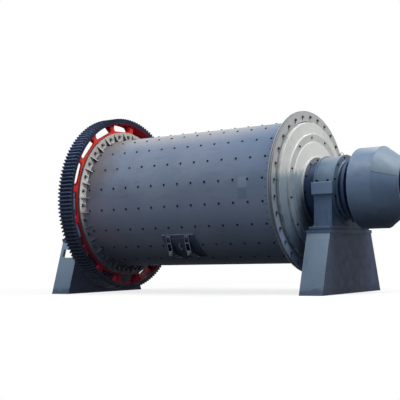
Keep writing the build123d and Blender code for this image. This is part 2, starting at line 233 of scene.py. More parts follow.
def bevel(piece, width, segments):
    modifier = piece.modifiers.new("bevel", "BEVEL")
    modifier.width = width
    modifier.segments = segments
    modifier.limit_method = "ANGLE"
    modifier.angle_limit = math.radians(30)
    pick(piece)
    bpy.ops.object.modifier_apply(modifier=modifier.name)


def soften(piece, angle=35):
    pick(piece)
    bpy.ops.object.shade_smooth_by_angle(angle=math.radians(angle))


def finish_piece(piece, name, material, body):
    piece.name = name
    piece.data.name = name
    piece.data.materials.clear()
    piece.data.materials.append(material)
    settle(piece)
    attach(piece, body)


# Places around the mill's axis


def around(radius, angle):
    """The y and z of a point about the mill's axis, its angle counted up from the near side."""
    turn = math.radians(angle)
    return -radius * math.cos(turn), axis_z + radius * math.sin(turn)


def on_face(x, radius, angle, outward, spin=0):
    """A place on a face across the axis, with +Z turned to point out of the face."""
    y, z = around(radius, angle)
    turn = Matrix.Rotation(quarter * outward, 4, "Y") @ Matrix.Rotation(math.radians(spin), 4, "Z")
    return Matrix.Translation((x, y, z)) @ turn


def on_drum(x, radius, angle):
    """A place on the drum, with +Z turned to point away from the axis."""
    y, z = around(radius, angle)
    return Matrix.Translation((x, y, z)) @ Matrix.Rotation(quarter - math.radians(angle), 4, "X")


def circle_of(count, phase):
    return [phase + 360 / count * index for index in range(count)]


def ring_on_face(x, radius, count, phase, outward, spin=0):
    """Places spread evenly round a face across the axis."""
    return [on_face(x, radius, angle, outward, spin) for angle in circle_of(count, phase)]


def corners(x, along, across, z):
    """Four level places about a point over the axis's line."""
    return [Matrix.Translation((x + side * along, out * across, z))
            for side in (-1, 1) for out in (-1, 1)]


def spread(model, name, places, material, body):
    """Copy a modelled piece to each place, and join the copies into one piece."""
    copies = []
    for place in places:
        copy = model.copy()
        copy.data = model.data.copy()
        copy.matrix_world = place
        bpy.context.scene.collection.objects.link(copy)
        copies.append(copy)
    joined = weld(copies, name)
    soften(joined)
    finish_piece(joined, name, material, body)


def discard(model):
    bpy.data.objects.remove(model)


# Camera, light and floor


def set_camera():
    data = bpy.data.cameras.new("camera")
    data.sensor_width = 36
    data.lens = focal_pixels * data.sensor_width / frame_pixels
    camera = bpy.data.objects.new("camera", data)
    bpy.context.scene.collection.objects.link(camera)
    pan = Matrix.Rotation(camera_pan, 4, "Z")
    tilt = Matrix.Rotation(quarter + camera_tilt, 4, "X")
    roll = Matrix.Rotation(camera_roll, 4, "Z")
    camera.matrix_world = Matrix.Translation(camera_place) @ pan @ tilt @ roll
    bpy.context.scene.camera = camera


def add_lamp(name, place, target, size, power, colour):
    data = bpy.data.lights.new(name, "AREA")
    data.shape = "RECTANGLE"
    data.size, data.size_y = size
    data.energy = power
    data.color = colour
    lamp = bpy.data.objects.new(name, data)
    bpy.context.scene.collection.objects.link(lamp)
    lamp.location = place
    lamp.rotation_euler = (Vector(target) - Vector(place)).to_track_quat("-Z", "Y").to_euler()


def shown_share(tree):
    """1 for rays that show the background, straight on or in gloss, and 0 for the light's own."""
    rays = tree.nodes.new("ShaderNodeLightPath")
    seen = tree.nodes.new("ShaderNodeMath")
    seen.operation = "ADD"
    tree.links.new(rays.outputs["Is Camera Ray"], seen.inputs[0])
    tree.links.new(rays.outputs["Is Glossy Ray"], seen.inputs[1])
    total = tree.nodes.new("ShaderNodeMath")
    total.operation = "ADD"
    total.use_clamp = True
    tree.links.new(seen.outputs[0], total.inputs[0])
    tree.links.new(rays.outputs["Is Transmission Ray"], total.inputs[1])
    return total.outputs[0]


def set_light():
    centre = (0, 0, axis_z)
    add_lamp("overhead", (-2.2, -3.7, 11.6), centre, (5, 5), 830, (1.0, 0.985, 0.97))
    add_lamp("feed_side", (6.6, 0.8, 9.9), centre, (4, 4), 740, (1.0, 0.995, 0.98))
    add_lamp("near_side", (3.0, -11.0, 3.6), centre, (5, 3), 170, (0.94, 0.97, 1.0))
    world = bpy.data.worlds.new("studio")
    bpy.context.scene.world = world
    world.use_nodes = True
    tree = world.node_tree
    tree.nodes.clear()
    output = tree.nodes.new("ShaderNodeOutputWorld")
    shown = tree.nodes.new("ShaderNodeBackground")
    shown.inputs["Color"].default_value = (1, 1, 1, 1)
    shown.inputs["Strength"].default_value = 1.0
    # Soft light that comes from above, with little from near the ground
    direction = tree.nodes.new("ShaderNodeTexCoord")
    split = tree.nodes.new("ShaderNodeSeparateXYZ")
    tree.links.new(direction.outputs["Generated"], split.inputs[0])
    level = tree.nodes.new("ShaderNodeMapRange")
    level.inputs["From Min"].default_value = 0.0
    level.inputs["From Max"].default_value = 0.8
    level.inputs["To Min"].default_value = 0.05
    level.inputs["To Max"].default_value = 0.55
    tree.links.new(split.outputs[2], level.inputs["Value"])
    sky = tree.nodes.new("ShaderNodeBackground")
    sky.inputs["Color"].default_value = (0.80, 0.88, 1.0, 1)
    tree.links.new(level.outputs[0], sky.inputs["Strength"])
    choose = tree.nodes.new("ShaderNodeMixShader")
    tree.links.new(shown_share(tree), choose.inputs["Fac"])
    tree.links.new(sky.outputs[0], choose.inputs[1])
    tree.links.new(shown.outputs[0], choose.inputs[2])
    tree.links.new(choose.outputs[0], output.inputs["Surface"])


def make_floor():
    """A pale floor that keeps the mill's shadow and fades into the white behind it."""
    bpy.ops.mesh.primitive_plane_add(size=floor_size, location=(0, 0, 0))
    floor = bpy.context.object
    floor.name = "studio_floor"
    finish = Finish("floor_white")
    tree = finish.tree
    away = finish.length(finish.x, finish.y)
    seen = shown_share(tree)
    glow_share = finish.times(seen, finish.between(away, floor_fade_start, floor_fade_end, 0.80, 1.0))
    matte = tree.nodes.new("ShaderNodeBsdfDiffuse")
    # Dark for the light that it would throw back on the mill, white where it shows
    tone = finish.mix(seen, (0.035, 0.037, 0.042, 1), (0.95, 0.95, 0.95, 1))
    finish.feed(matte.inputs["Color"], tone)
    glow = tree.nodes.new("ShaderNodeEmission")
    glow.inputs["Color"].default_value = (1, 1, 1, 1)
    blend = finish.node("MixShader", [glow_share, matte.outputs[0], glow.outputs[0]])
    tree.links.new(blend.outputs[0], tree.nodes["Material Output"].inputs["Surface"])
    tree.nodes.remove(finish.shader)
    floor.data.materials.append(finish.material)


# Paint and metal


class Finish:
    """One material, built up from patterns on Object coordinates."""

    def __init__(self, name, metallic=0.0, roughness=0.5, gloss=0.3):
        self.material = bpy.data.materials.new(name)
        self.material.use_nodes = True
        self.tree = self.material.node_tree
        self.shader = self.tree.nodes["Principled BSDF"]
        self.shader.inputs["Metallic"].default_value = metallic
        self.shader.inputs["Roughness"].default_value = roughness
        self.shader.inputs["Specular IOR Level"].default_value = gloss
        self.place = self.node("TexCoord").outputs["Object"]
        split = self.node("SeparateXYZ", [self.place])
        self.x, self.y, self.z = split.outputs[0], split.outputs[1], split.outputs[2]

    def node(self, kind, inputs=(), **settings):
        prefix = "" if kind.startswith("ShaderNode") else "ShaderNode"
        made = self.tree.nodes.new(prefix + kind)
        for key, value in settings.items():
            setattr(made, key, value)
        for index, value in enumerate(inputs):
            self.feed(made.inputs[index], value)
        return made

    def feed(self, socket, value):
        if isinstance(value, bpy.types.NodeSocket):
            self.tree.links.new(value, socket)
        elif value is not None:
            socket.default_value = value

    def math(self, operation, first, second=None):
        return self.node("Math", [first, second], operation=operation).outputs[0]

    def times(self, first, second):
        return self.math("MULTIPLY", first, second)

    def plus(self, first, second):
        return self.math("ADD", first, second)

    def minus(self, first, second):
        return self.math("SUBTRACT", first, second)

    def over(self, first, second):
        return self.math("DIVIDE", first, second)

    def larger(self, first, second):
        return self.math("MAXIMUM", first, second)

    def length(self, first, second):
        """How long the slope of a right-angled triangle is."""
        return self.math("SQRT", self.plus(self.times(first, first), self.times(second, second)))

    def off(self, value, middle):
        """How far a value lies from a middle one."""
        return self.math("ABSOLUTE", self.minus(value, middle))

    def from_nearest(self, count):
        """How far a count above -100 is from the nearest whole number, from -0.5 to 0.5."""
        return self.minus(self.math("FRACT", self.plus(count, 100.5)), 0.5)

    def stretched(self, x, y, z):
        """The place with each direction scaled, for streaks."""
        return self.node("Mapping", [self.place, None, None, (x, y, z)]).outputs[0]

    def noise(self, scale, detail=3.0, rough=0.55, place=None):
        made = self.node("TexNoise")
        self.feed(made.inputs["Vector"], place or self.place)
        made.inputs["Scale"].default_value = scale
        made.inputs["Detail"].default_value = detail
        made.inputs["Roughness"].default_value = rough
        return made.outputs[0]

    def between(self, value, low, high, to_low=0.0, to_high=1.0):
        """Map a value's range from low to high onto another, and clamp it."""
        return self.node("MapRange", [value, low, high, to_low, to_high]).outputs[0]

    def fade(self, value, low, high, full=1.0):
        """Full up to the low value, and nothing from the high one."""
        return self.between(value, low, high, full, 0.0)

    def band(self, value, low, high, soft):
        """1 from the low value to the high one, with soft edges inside them."""
        return self.times(self.between(value, low, low + soft), self.fade(value, high - soft, high))

    def ragged(self, scale, detail, reach):
        """A cloudy shift by up to the reach, for the uneven edges of dirt."""
        return self.between(self.noise(scale, detail), 0.3, 0.7, -reach, reach)

    def level(self, low, high, to_low=0.0, to_high=1.0):
        """Map heights, counted from the mill's axis."""
        return self.between(self.z, axis_z + low, axis_z + high, to_low, to_high)

    def mix(self, factor, first, second):
        made = self.node("Mix", data_type="RGBA")
        self.feed(made.inputs["Factor"], factor)
        self.feed(made.inputs[6], first)
        self.feed(made.inputs[7], second)
        return made.outputs[2]

    def radius(self):
        """Distance from the mill's axis."""
        return self.length(self.y, self.minus(self.z, axis_z))

    def turn(self):
        """Angle about the mill's axis, counted up from the near side."""
        rise = self.minus(self.z, axis_z)
        return self.math("ARCTAN2", rise, self.times(self.y, -1.0))

    def paint(self, colour):
        self.feed(self.shader.inputs["Base Color"], colour)

    def off_middle(self, name):
        """Distance along X from the middle of a node."""
        return self.off(self.x, middle_x(name))

    def roughen(self, low, high, dirt=None):
        """Uneven gloss, duller still where there is dirt."""
        rough = self.between(self.noise(9.0), 0.3, 0.7, low, high)
        if dirt is not None:
            rough = self.larger(rough, dirt)
        self.feed(self.shader.inputs["Roughness"], rough)

    def grain(self, rough=(0.42, 0.62), dirt=None):
        """The uneven gloss and fine grain of brushed enamel."""
        self.roughen(*rough, dirt=dirt)
        self.bump(self.noise(26, 4), 0.10, 0.003)

    def bump(self, height, strength, distance):
        made = self.node("Bump")
        made.inputs["Strength"].default_value = strength
        made.inputs["Distance"].default_value = distance
        self.feed(made.inputs["Height"], height)
        self.feed(self.shader.inputs["Normal"], made.outputs[0])

    def enamel(self, light, dark, grime, streak=(1, 1, 1)):
        """Brushed machine enamel: cloudy colour, streaks and small chips of grime."""
        grime = srgb(*grime)
        cloud = self.between(self.noise(1.7, 4), 0.35, 0.68)
        colour = self.mix(cloud, srgb(*dark), srgb(*light))
        dark_streak = self.between(self.noise(7.0, 5, 0.6, self.stretched(*streak)), 0.52, 0.75, 0.0, 0.45)
        colour = self.mix(dark_streak, colour, grime)
        speck = self.between(self.noise(46.0, 2), 0.66, 0.72, 0.0, 0.5)
        return self.mix(speck, colour, grime)


def shell_finish():
    """Weathered blue-grey enamel: dusty above with a painted sheen, painted shade below and over the
    upper flank, greased rings round the liner bolts.
    """
    finish = Finish("drum_enamel", gloss=0.07)
    colour = finish.enamel((124, 136, 155), (112, 125, 145), (88, 97, 113), (0.5, 1.6, 1.6))
    # Bluer and cleaner towards the feed head, and darker over the shoulder of the drum as painted shade
    clean = finish.between(finish.x, feed_joint_x - 1.3, feed_joint_x - 0.1, 0.0, 0.6)
    colour = finish.mix(clean, colour, srgb(98, 118, 144))
    shoulder_shade = finish.level(0.38, 0.66)
    colour = finish.mix(finish.times(shoulder_shade, 0.5), colour, srgb(102, 112, 130))
    colour = finish.mix(finish.times(shoulder_shade, clean), colour, srgb(80, 103, 132))
    # Grey dust over the drive end, thinner towards the underside, darkened as painted shade beside the
    # gussets
    reach = finish.plus(drive_joint_x, finish.between(finish.noise(2.6, 5), 0.25, 0.75, 0.28, 0.62))
    edge = finish.minus(reach, finish.x)
    dust_and_shade = finish.times(finish.between(edge, -0.14, 0.20), finish.level(-0.5, 0.5))
    colour = finish.mix(finish.times(dust_and_shade, 0.85), colour, srgb(104, 100, 104))
    # Reddish dust on the flank below it
    flank = finish.times(finish.level(-0.85, -0.50), finish.level(-0.20, 0.10, 1.0, 0.0))
    flank = finish.times(flank, finish.between(edge, -0.55, 0.10, 0.0, 0.6))
    colour = finish.mix(flank, colour, srgb(144, 133, 150))
    # Settled dust and a painted sheen along the top, a painted lighter band just below the axis, and
    # painted shade along the underside
    dust_and_sheen = finish.times(finish.level(0.78, 1.02, 0.0, 0.75),
                           finish.between(finish.x, feed_joint_x - 1.1, feed_joint_x - 0.2, 1.0, 0.35))
    dust_and_sheen = finish.times(dust_and_sheen,
                           finish.between(finish.x, drive_joint_x + 0.15, drive_joint_x + 0.60))
    colour = finish.mix(dust_and_sheen, colour, srgb(158, 158, 156))
    # Painted light: a paler band just below the axis
    middle = finish.times(finish.level(-0.62, -0.38, 0.0, 0.45),
                          finish.level(-0.20, 0.05, 1.0, 0.0))
    colour = finish.mix(middle, colour, srgb(146, 158, 184))
    # Painted shade along the underside
    underside_shade = finish.level(-0.90, -0.62, 0.43, 0.0)
    colour = finish.mix(underside_shade, colour, srgb(46, 43, 62))
    # Two touched-up squares near the feed end, one above the other
    beside = finish.off(finish.x, feed_joint_x - touch_up_from_joint)
    beside = finish.fade(beside, touch_up_half - 0.005, touch_up_half + 0.005, 0.34)
    for angle, fresh in zip(touch_up_angles, (srgb(138, 158, 180), srgb(82, 98, 120))):
        off = finish.off(finish.turn(), math.radians(angle))
        square = finish.fade(off, math.radians(touch_up_half_angle - 0.3),
                             math.radians(touch_up_half_angle + 0.3))
        colour = finish.mix(finish.times(beside, square), colour, fresh)
    # A dark ring of grease round each liner bolt
    along = finish.over(finish.minus(feed_joint_x - first_liner_from_joint, finish.x), liner_pitch)
    along = finish.times(finish.from_nearest(along), liner_pitch)
    row_step = math.radians(360 / liner_rows)
    row = finish.over(finish.minus(finish.turn(), math.radians(liner_row_phase)), row_step)
    row = finish.times(finish.from_nearest(row), row_step * shell_radius)
    away = finish.length(along, row)
    away = finish.plus(away, finish.ragged(30, 3, 0.008))
    ring = finish.fade(away, 0.013, 0.026, 0.45)
    colour = finish.mix(ring, colour, srgb(52, 56, 66))
    finish.paint(colour)
    finish.roughen(0.42, 0.62, dirt=finish.level(-0.95, -0.60, 0.78, 0.42))
    finish.bump(finish.noise(3.2, 4), 0.10, 0.02)
    return finish.material


def flange_finish(name, rim_colour, edge_x):
    """Dusty enamel on the faces of a shell flange, with a painted lighter band about the axis and
    painted shade below it; a darker rim with a painted highlight along one edge.
    """
    finish = Finish(name, roughness=0.7)
    colour = finish.enamel((208, 203, 198), (188, 184, 179), (132, 130, 130))
    # Painted light: a paler band about the axis height; below it the face gets darker in two steps, as
    # painted shade
    rise = finish.plus(finish.z, finish.ragged(5, 3, 0.1))
    painted_light = finish.times(finish.between(rise, axis_z - 0.35, axis_z - 0.05),
                          finish.fade(rise, axis_z + 0.25, axis_z + 0.75))
    colour = finish.mix(finish.times(painted_light, 0.9), colour, srgb(242, 237, 233))
    colour = finish.mix(finish.between(rise, axis_z - 0.45, axis_z - 0.15), srgb(138, 142, 158), colour)
    colour = finish.mix(finish.between(rise, axis_z - 1.00, axis_z - 0.50), srgb(58, 62, 74), colour)
    rim = finish.between(finish.radius(), flange_radius - 0.004, flange_radius - 0.002)
    colour = finish.mix(rim, colour, rim_colour)
    # Painted highlight: a pale line along one edge of the rim, brighter above
    edge = finish.off(finish.x, edge_x)
    edge = finish.times(rim, finish.fade(edge, 0.005, 0.008, 0.8))
    high = finish.level(-0.6, 0.1, 0.25, 1.0)
    colour = finish.mix(finish.times(edge, high), colour, srgb(196, 196, 192))
    finish.paint(colour)
    finish.roughen(0.55, 0.8)
    finish.bump(finish.noise(24, 4), 0.12, 0.004)
    return finish.material


def gusset_finish():
    """Broad sides of the gussets dark above the axis and lighter below it, as painted shade and painted
    light; pale and dusty along their thin edges; both darker towards the bottom, as painted shade.
    """
    finish = Finish("gusset_enamel", roughness=0.7)
    pale = finish.enamel((206, 201, 197), (178, 174, 171), (126, 124, 126))
    # Painted shade: the thin edges darker below the axis and darker still at the bottom
    low = finish.level(-0.45, -0.05)
    under = finish.level(-1.02, -0.68)
    pale = finish.mix(low, finish.mix(under, srgb(60, 66, 78), srgb(112, 118, 132)), pale)
    # Painted shade on the broad sides above the axis, painted light on them below it, and painted shade
    # again at the bottom
    dark = finish.enamel((74, 74, 82), (56, 57, 66), (38, 40, 50))
    dark = finish.mix(finish.level(-0.55, -0.10),
                      finish.mix(under, srgb(52, 58, 70), srgb(112, 124, 138)), dark)
    step = math.radians(360 / gusset_count)
    turn = finish.over(finish.minus(finish.turn(), math.radians(gusset_phase)), step)
    aside = finish.math("SINE", finish.times(finish.from_nearest(turn), step))
    aside = finish.math("ABSOLUTE", finish.times(aside, finish.radius()))
    side = finish.between(aside, gusset_half - 0.0006, gusset_half - 0.0003)
    finish.paint(finish.mix(side, pale, dark))
    finish.roughen(0.55, 0.8)
    finish.bump(finish.noise(24, 4), 0.12, 0.004)
    return finish.material


def head_finish():
    """Pale primer above, blue-grey enamel brushed up over it from below and darker towards the bottom,
    partly as painted shade; painted highlights along the edges of the steps.
    """
    finish = Finish("head_enamel")
    radius = finish.radius()
    pale = finish.enamel((227, 226, 221), (213, 212, 207), (182, 181, 178), (1, 1.4, 0.7))
    upper = finish.enamel((164, 180, 190), (146, 162, 174), (114, 128, 142), (1, 1.4, 0.6))
    lower = finish.enamel((100, 118, 138), (84, 101, 122), (60, 73, 92), (1, 1.4, 0.6))
    # The blue-grey enamel darkens towards the bottom, partly as denser paint and partly as painted
    # shade
    cold = finish.mix(finish.level(-0.65, 0.25), lower, upper)
    strokes = finish.noise(26, 4, 0.6, finish.stretched(1, 1, 0.16))
    strokes = finish.between(strokes, 0.3, 0.7, -0.06, 0.06)
    slope = finish.times(finish.y, primer_slope)
    edge = finish.minus(finish.plus(finish.z, strokes), finish.plus(slope, axis_z + primer_rise))
    primed = finish.between(edge, -0.04, 0.07)
    boss = finish.fade(radius, boss_radius - 0.006, boss_radius - 0.004)
    colour = finish.mix(primed, cold, finish.mix(finish.times(boss, 0.8), pale, srgb(246, 246, 239)))
    # The bolted rim and the second step are greyer than the disc
    rim = finish.between(radius, disc_radius + 0.001, disc_radius + 0.005)
    below = finish.level(-0.70, -0.20, 1.0, 0.0)
    colour = finish.mix(finish.times(rim, 0.42), colour,
                        finish.mix(below, srgb(142, 146, 151), srgb(158, 178, 214)))
    step = finish.band(radius, boss_radius - 0.003, step_radius - 0.0035, 0.0015)
    colour = finish.mix(finish.times(step, 0.20), colour,
                        finish.mix(below, srgb(144, 148, 152), srgb(162, 190, 240)))
    # Painted shade near the hub, thickest below the axis, and in the groove round the disc
    hub_shade = finish.plus(radius, finish.ragged(6, 4, 0.08))
    hub_shade = finish.fade(hub_shade, 0.52, 0.80, 0.80)
    hub_shade = finish.times(hub_shade, finish.level(-0.25, 0.20, 1.0, 0.0))
    colour = finish.mix(hub_shade, colour, srgb(34, 44, 68))
    groove_shade = finish.band(radius, disc_radius + 0.0005, groove_radius + 0.0005, 0.001)
    colour = finish.mix(finish.times(groove_shade, 0.8), colour, srgb(64, 70, 80))
    # Painted shadow of the raised disc on the rim beside it, on the near side
    beside = finish.times(rim, finish.fade(radius, disc_radius + 0.049, disc_radius + 0.065))
    beside = finish.times(beside, finish.fade(finish.y, -0.90, -0.45, 0.6))
    colour = finish.mix(beside, colour, srgb(70, 80, 94))
    # Painted shadows under the bolts round the rim
    pitch = math.radians(360 / head_count)
    nearest = finish.over(finish.minus(finish.turn(), math.radians(head_phase)), pitch)
    nearest = finish.plus(finish.times(finish.math("ROUND", nearest), pitch), math.radians(head_phase))
    aside = finish.plus(finish.y, finish.times(finish.math("COSINE", nearest), head_circle))
    bolt_rise = finish.times(finish.math("SINE", nearest), head_circle)
    drop = finish.minus(finish.plus(bolt_rise, axis_z), finish.z)
    dark_streak = finish.times(finish.fade(finish.math("ABSOLUTE", aside), 0.009, 0.015),
                       finish.fade(drop, 0.045, 0.085))
    dark_streak = finish.times(dark_streak, finish.between(drop, -0.004, 0.004))
    on_rim = finish.between(radius, groove_radius - 0.002, groove_radius + 0.002, 0.0, 0.75)
    dark_streak = finish.times(dark_streak, on_rim)
    colour = finish.mix(dark_streak, colour, srgb(58, 62, 70))
    outer = finish.between(radius, head_radius - 0.003, head_radius - 0.001)
    colour = finish.mix(finish.times(outer, 0.75), colour, srgb(84, 90, 98))
    # Painted highlights along the edges of the disc, the step and the boss
    for edge in (disc_radius, step_radius, boss_radius):
        off = finish.off(radius, edge - 0.0025)
        worn = finish.times(finish.fade(off, 0.0035, 0.0065, 0.85),
                            finish.between(finish.noise(9, 4), 0.35, 0.6))
        colour = finish.mix(finish.times(worn, finish.between(primed, 0.0, 1.0, 0.25, 1.0)),
                            colour, srgb(236, 236, 232))
    finish.paint(colour)
    finish.roughen(0.5, 0.72)
    finish.bump(finish.noise(30, 4), 0.14, 0.004)
    return finish.material


def gear_finish():
    """Red enamel on web and arms, crimson below the axis as painted shade; dark bare teeth and rim,
    pale along the tips from wear and a painted highlight.
    """
    finish = Finish("gear_casting", roughness=0.5, gloss=0.12)
    radius = finish.radius()
    red = finish.enamel((255, 82, 62), (236, 58, 52), (156, 36, 52))
    crimson = finish.enamel((178, 42, 68), (148, 34, 60), (90, 24, 46))
    # Lit red above the axis and crimson below it: painted shade
    red = finish.mix(finish.level(-0.60, 0.30), crimson, red)
    # Deeper red in the shade under the rim
    shade = finish.times(finish.between(radius, rim_bore - 0.083, rim_bore - 0.028),
                         finish.level(0.40, 0.80, 0.0, 0.65))
    red = finish.mix(shade, red, srgb(150, 28, 66))
    dark = finish.enamel((80, 92, 120), (66, 77, 102), (34, 39, 50))
    # Pale tooth tips, from wear and a painted highlight, fainter towards the top
    worn = finish.between(radius, tooth_tip - 0.0075, tooth_tip - 0.0010, 0.0, 0.7)
    worn = finish.times(worn, finish.between(finish.noise(14, 4), 0.40, 0.62))
    worn = finish.times(worn, finish.level(1.05, 1.35, 1.0, 0.2))
    dark = finish.mix(worn, dark, srgb(92, 110, 148))
    # Old grease between the teeth; painted shade over the teeth and rim below the axis and across the
    # top
    grease_and_shade = finish.fade(radius, tooth_root + 0.003, tooth_root + 0.012, 0.75)
    grease_and_shade = finish.larger(grease_and_shade, finish.level(-0.9, 0.1, 0.8, 0.0))
    grease_and_shade = finish.larger(grease_and_shade, finish.level(1.15, 1.40, 0.0, 0.75))
    dark = finish.mix(grease_and_shade, dark, srgb(22, 26, 38))
    bore = finish.between(radius, rim_bore + 0.0015, rim_bore + 0.0025)
    finish.paint(finish.mix(bore, red, dark))
    finish.roughen(0.50, 0.74, dirt=finish.level(0.95, 1.30, 0.5, 0.96))
    finish.bump(finish.noise(40, 3), 0.10, 0.003)
    return finish.material


def machine_finish(name, light, dark, grime, rough=(0.42, 0.62), gloss=0.3):
    """Plain enamel for fasteners and small parts."""
    finish = Finish(name, gloss=gloss)
    finish.paint(finish.enamel(light, dark, grime, streaks_down))
    finish.grain(rough)
    return finish.material


def nut_finish(name, face_x, washer, height):
    """Dark sides on nuts that stand on a face across the axis; tops and washers paler, dusty with a
    painted highlight, and darker below the axis as painted shade.
    """
    finish = Finish(name)
    dark = finish.enamel((40, 43, 54), (30, 33, 44), (18, 20, 28))
    # Painted highlight on the tops and washers, darker below the axis as painted shade
    pale = finish.mix(finish.level(-0.3, 0.1), srgb(84, 95, 112), srgb(140, 139, 138))
    reach = finish.minus(finish.x, face_x)
    top = finish.between(reach, washer + height - 0.0012, washer + height - 0.0004)
    low = finish.fade(reach, washer + 0.0002, washer + 0.0008)
    finish.paint(finish.mix(finish.larger(top, low), dark, pale))
    finish.roughen(0.4, 0.6)
    return finish.material


def bearing_finish():
    """Machine enamel, worn pale along the top edge of the cap's lugs."""
    finish = Finish("bearing_enamel", gloss=0.15)
    upper = finish.enamel((98, 118, 138), (86, 105, 125), (58, 71, 87), streaks_down)
    lower = finish.enamel((93, 115, 143), (79, 100, 129), (54, 66, 89), streaks_down)
    colour = finish.mix(finish.level(-0.10, 0.15), lower, upper)
    out = finish.math("ABSOLUTE", finish.y)
    # Painted light on the outer faces of the cap's lugs
    lug = finish.times(finish.between(out, lug_reach - 0.012, lug_reach - 0.008),
                       finish.level(-0.09, -0.08))
    colour = finish.mix(finish.times(lug, 0.6), colour, srgb(128, 150, 182))
    rise = finish.off(finish.z, axis_z + cap_lug_height)
    edge = finish.fade(rise, 0.012, 0.015, 0.9)
    edge = finish.times(edge, finish.between(out, lug_reach - 0.006, lug_reach - 0.003))
    edge = finish.times(edge, finish.between(finish.noise(18, 3), 0.38, 0.5))
    # Dust with a painted sheen on the top of the caps
    dust_and_sheen = finish.level(0.36, 0.48, 0.0, 0.6)
    colour = finish.mix(dust_and_sheen, colour, srgb(146, 150, 154))
    # Painted highlight round the edge of the seal cover, above the axis
    ring = finish.off(finish.radius(), seal_radius)
    ring = finish.times(finish.fade(ring, 0.004, 0.007, 0.85), finish.level(0.18, 0.34))
    outer = finish.math("MINIMUM", finish.off_middle("feed_bearing_cap"),
                        finish.off_middle("drive_bearing_cap"))
    ring = finish.times(ring, finish.between(outer, seal_face - 0.007, seal_face - 0.005))
    colour = finish.mix(ring, colour, srgb(214, 222, 228))
    # Rubbed top edge of the foot, and the dark joint under it
    foot = finish.fade(finish.off(finish.z, foot_top_z), 0.005, 0.009, 0.6)
    colour = finish.mix(foot, colour, srgb(150, 160, 178))
    joint = finish.off(finish.z, foot_bottom_z)
    colour = finish.mix(finish.fade(joint, 0.006, 0.010, 0.85), colour, srgb(26, 30, 42))
    finish.paint(finish.mix(edge, colour, srgb(172, 188, 204)))
    finish.grain()
    return finish.material


def pedestal_finish():
    """Clean enamel on the plates, lighter towards the top as painted light; the sides that face along
    the mill are darker, as painted shade.
    """
    finish = Finish("pedestal_enamel", gloss=0.10)
    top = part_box("feed_pedestal")[1].z
    # Painted light and shade: lighter towards the top, darker below
    upper = finish.enamel((144, 164, 183), (136, 156, 175), (112, 129, 147), streaks_down)
    lower = finish.enamel((118, 136, 156), (110, 128, 148), (90, 105, 124), streaks_down)
    colour = finish.mix(finish.between(finish.z, top - 0.75, top - 0.05), lower, upper)
    # Painted shade on the sides that face along the mill, a little lighter towards the top
    along_face_shade = finish.enamel((80, 90, 114), (73, 83, 106), (63, 72, 94), (1.4, 1.4, 0.8))
    lit = finish.between(finish.z, top - 0.60, top - 0.05, 0.0, 0.45)
    along_face_shade = finish.mix(lit, along_face_shade, srgb(104, 118, 148))
    along = None
    for end in ("feed", "drive"):
        low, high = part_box(end + "_pedestal")
        depth = high.x - low.x
        off = finish.off_middle(end + "_pedestal")
        face = finish.between(off, depth / 2 - 0.002, depth / 2 - 0.001)
        face = finish.times(face, finish.fade(off, depth, depth + 0.01))
        along = face if along is None else finish.larger(along, face)
    colour = finish.mix(along, colour, along_face_shade)
    # A dark ragged strip just above the ground, and the rubbed edge at the top
    ground_strip = finish.plus(finish.z, finish.ragged(9, 4, 0.03))
    colour = finish.mix(finish.fade(ground_strip, 0.05, 0.12, 0.55), colour, srgb(46, 56, 80))
    rubbed = finish.between(finish.z, top - 0.010, top - 0.007, 0.0, 0.6)
    finish.paint(finish.mix(rubbed, colour, srgb(168, 176, 190)))
    finish.grain()
    return finish.material


def neck_finish():
    """Dark enamel, with a painted highlight round the rim of the flange that is bolted to the head,
    brighter above.
    """
    finish = Finish("neck_enamel", gloss=0.12)
    colour = finish.enamel((62, 80, 112), (46, 62, 92), (28, 36, 56), streaks_down)
    radius = finish.radius()
    by_head = finish.times(finish.fade(finish.x, feed_joint_x + 0.20, feed_joint_x + 0.25),
                           finish.between(finish.x, drive_joint_x - 0.30, drive_joint_x - 0.25))
    dusty = finish.times(finish.between(radius, neck_radius + 0.005, neck_radius + 0.011),
                         finish.level(0.12, 0.42, 0.0, 0.85))
    dusty = finish.times(dusty, by_head)
    colour = finish.mix(dusty, colour, srgb(158, 156, 160))
    # Painted highlight round the flange's rim, brighter above
    rim = finish.times(finish.between(radius, seat_radius - 0.009, seat_radius - 0.003),
                       finish.level(-0.16, 0.14, 0.05, 0.9))
    colour = finish.mix(rim, colour, srgb(216, 220, 220))
    finish.paint(colour)
    finish.grain()
    return finish.material


